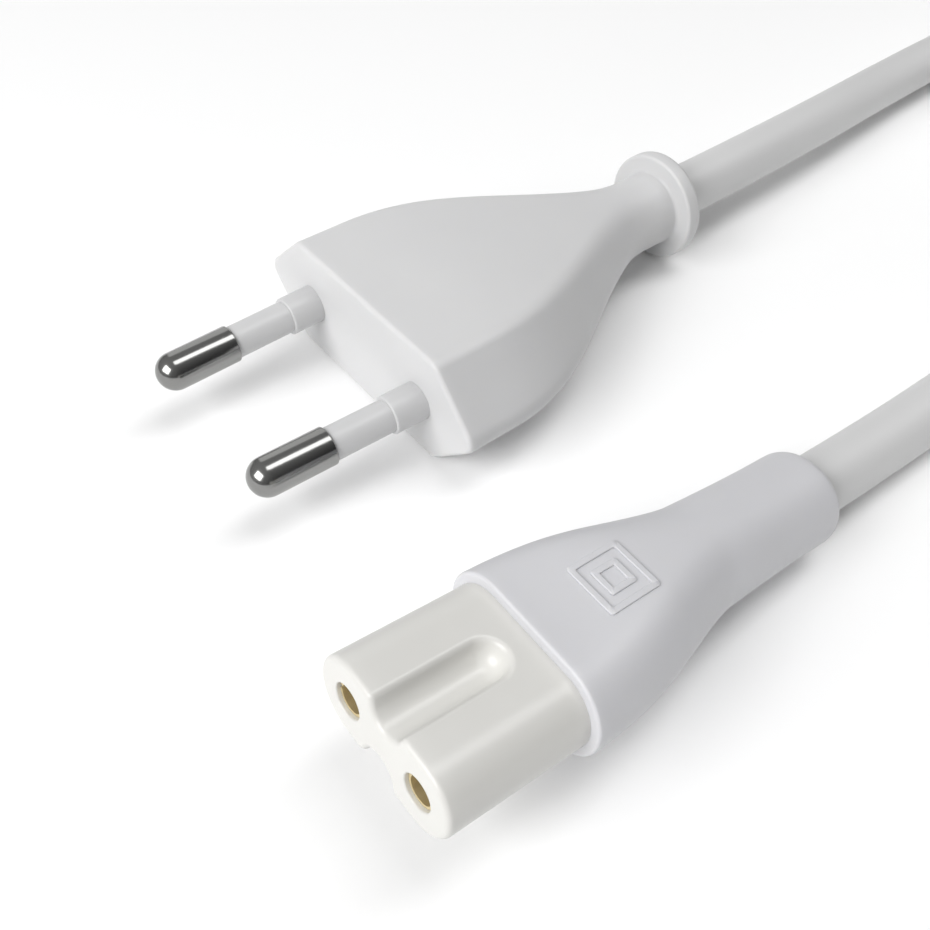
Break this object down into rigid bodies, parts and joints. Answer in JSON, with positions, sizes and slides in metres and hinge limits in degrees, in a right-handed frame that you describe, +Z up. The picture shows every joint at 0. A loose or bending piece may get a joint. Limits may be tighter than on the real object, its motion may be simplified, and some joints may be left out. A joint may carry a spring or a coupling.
{
  "type": "europlug mains lead",
  "caption": "White moulded mains lead: flat europlug with half-sleeved round pins, round cord and a figure-of-eight appliance connector at its far end.",
  "frame": {"origin": "middle of the plug's box, on the surface that it lies on", "axes": "+Y along the plug from the pins to the cord, X across the pins, +Z up"},
  "size_m": [0.091, 0.2093, 0.0208],
  "materials": {
    "plug_pvc": "satin white moulded PVC",
    "connector_pvc": "satin cool white moulded PVC",
    "cord_pvc": "satin white extruded PVC",
    "insert_plastic": "glossy cream moulded thermoplastic",
    "carrier_nylon": "natural nylon",
    "sleeve_plastic": "light grey satin sleeve",
    "pin_nickel": "bright nickel plate on brass",
    "contact_brass": "bare spring brass",
    "copper": "bare stranded copper",
    "core_brown": "brown PVC core insulation",
    "core_blue": "blue PVC core insulation",
    "tie_plastic": "dark grey hook-and-loop strap"
  },
  "bodies": {
    "root": {"plug_body": "plug_pvc", "pin_carrier": "carrier_nylon", "pin_live": "pin_nickel", "pin_neutral": "pin_nickel", "pin_sleeve_live": "sleeve_plastic", "pin_sleeve_neutral": "sleeve_plastic", "plug_core_live": "core_brown", "plug_core_neutral": "core_blue", "plug_conductor_live": "copper", "plug_conductor_neutral": "copper", "connector_insert": "insert_plastic", "connector_body": "connector_pvc", "contact_live": "contact_brass", "contact_neutral": "contact_brass", "connector_core_live": "core_brown", "connector_core_neutral": "core_blue", "connector_conductor_live": "copper", "connector_conductor_neutral": "copper", "cord_plug_side": "cord_pvc", "cord_connector_side": "cord_pvc", "cord_coil": "cord_pvc", "cord_tie": "tie_plastic"}
  },
  "joints": []
}
